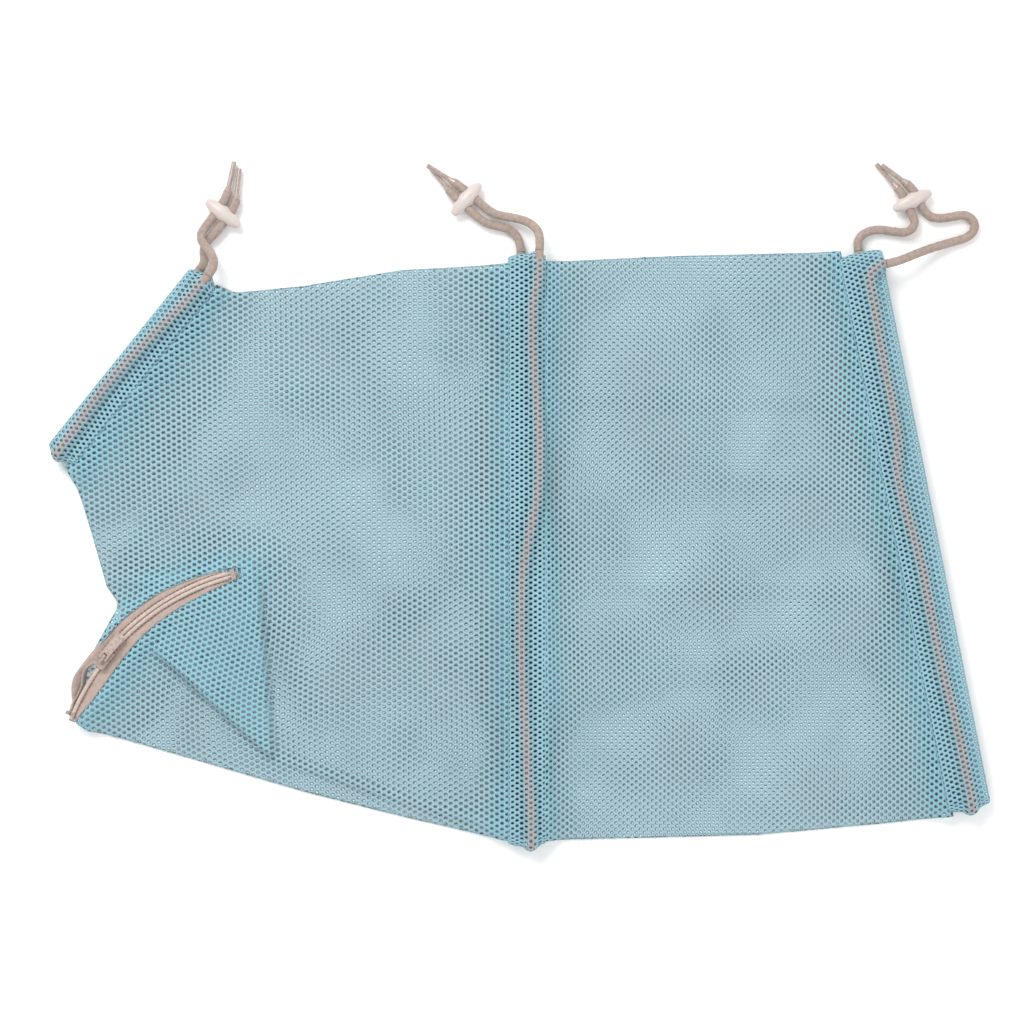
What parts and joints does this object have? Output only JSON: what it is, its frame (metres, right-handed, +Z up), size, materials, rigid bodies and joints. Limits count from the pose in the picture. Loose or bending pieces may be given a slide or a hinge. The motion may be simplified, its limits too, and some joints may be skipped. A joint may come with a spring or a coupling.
{
  "type": "mesh pet grooming bag",
  "caption": "Flat-lying mesh sleeve with drawcord casings at neck, waist and rear, oval cord locks and a curved coil zip near one corner",
  "frame": {"origin": "on the table under the middle of the cloth's outline, drawcord tails left out", "axes": "+X from neck to rear, +Y from belly to back, +Z up away from the table"},
  "size_m": [0.561, 0.4096, 0.0195],
  "materials": {
    "mesh": "knitted polyester mesh, aqua",
    "casing_mesh": "doubled polyester mesh, aqua",
    "cord": "soft braided polyester cord, grey-beige",
    "bead": "moulded satin plastic, off-white",
    "cord_tip": "clear plastic sleeve over cord",
    "zip_tape": "woven polyester tape, beige",
    "zip_coil": "nylon coil dyed with the tape",
    "zip_slider": "zinc, painted beige",
    "zip_stop": "pressed aluminium, bright"
  },
  "bodies": {
    "bag": {"front_back_edge": "mesh", "front_belly_edge": "mesh", "front_bottom_layer": "mesh", "front_chest_edge": "mesh", "front_top_layer": "mesh", "front_zip_edge_lower": "mesh", "front_zip_edge_upper": "mesh", "neck_casing_back_turn": "casing_mesh", "neck_casing_belly_turn": "casing_mesh", "neck_casing_bottom": "casing_mesh", "neck_casing_top": "casing_mesh", "neck_cord_in_casing": "cord", "neck_cord_tail_left": "cord", "neck_cord_tail_right": "cord", "neck_cord_tip_left": "cord_tip", "neck_cord_tip_right": "cord_tip", "rear_back_edge": "mesh", "rear_belly_edge": "mesh", "rear_bottom_layer": "mesh", "rear_casing_back_turn": "casing_mesh", "rear_casing_belly_turn": "casing_mesh", "rear_casing_bottom": "casing_mesh", "rear_casing_top": "casing_mesh", "rear_cord_in_casing": "cord", "rear_cord_tail_left": "cord", "rear_cord_tail_right": "cord", "rear_cord_tip_left": "cord_tip", "rear_cord_tip_right": "cord_tip", "rear_top_layer": "mesh", "waist_casing_back_turn": "casing_mesh", "waist_casing_belly_turn": "casing_mesh", "waist_casing_bottom": "casing_mesh", "waist_casing_top": "casing_mesh", "waist_cord_in_casing": "cord", "waist_cord_tail_left": "cord", "waist_cord_tail_right": "cord", "waist_cord_tip_left": "cord_tip", "waist_cord_tip_right": "cord_tip", "zip_bottom_stop": "zip_stop", "zip_coil_inner": "zip_coil", "zip_coil_outer": "zip_coil", "zip_tape_inner": "zip_tape", "zip_tape_outer": "zip_tape", "zip_top_stops": "zip_stop"},
    "slider": {"zip_slider": "zip_slider"},
    "pull": {"zip_pull_tab": "zip_slider"},
    "neck_lock": {"neck_cord_lock": "bead"},
    "waist_lock": {"waist_cord_lock": "bead"},
    "rear_lock": {"rear_cord_lock": "bead"}
  },
  "joints": [
    {"name": "zip_slide", "type": "hinge", "parent": "bag", "child": "slider", "pos_m": [-0.1337, -0.1522, 0.0132], "axis": [0, 0, -1], "range_deg": [0, 34]},
    {"name": "pull_swing", "type": "hinge", "parent": "slider", "child": "pull", "pos_m": [-0.24428, -0.06487, 0.0169], "axis": [0.7848, -0.6198, 0], "range_deg": [0, 165]},
    {"name": "neck_lock_slide", "type": "slide", "parent": "bag", "child": "neck_lock", "axis": [0.6129, 0.7902, 0], "range_m": [-0.004, 0]},
    {"name": "waist_lock_slide", "type": "slide", "parent": "bag", "child": "waist_lock", "axis": [-0.7466, 0.6652, 0], "range_m": [-0.0085, 0]},
    {"name": "rear_lock_slide", "type": "slide", "parent": "bag", "child": "rear_lock", "axis": [-0.4179, 0.9085, 0], "range_m": [-0.003, 0]}
  ]
}
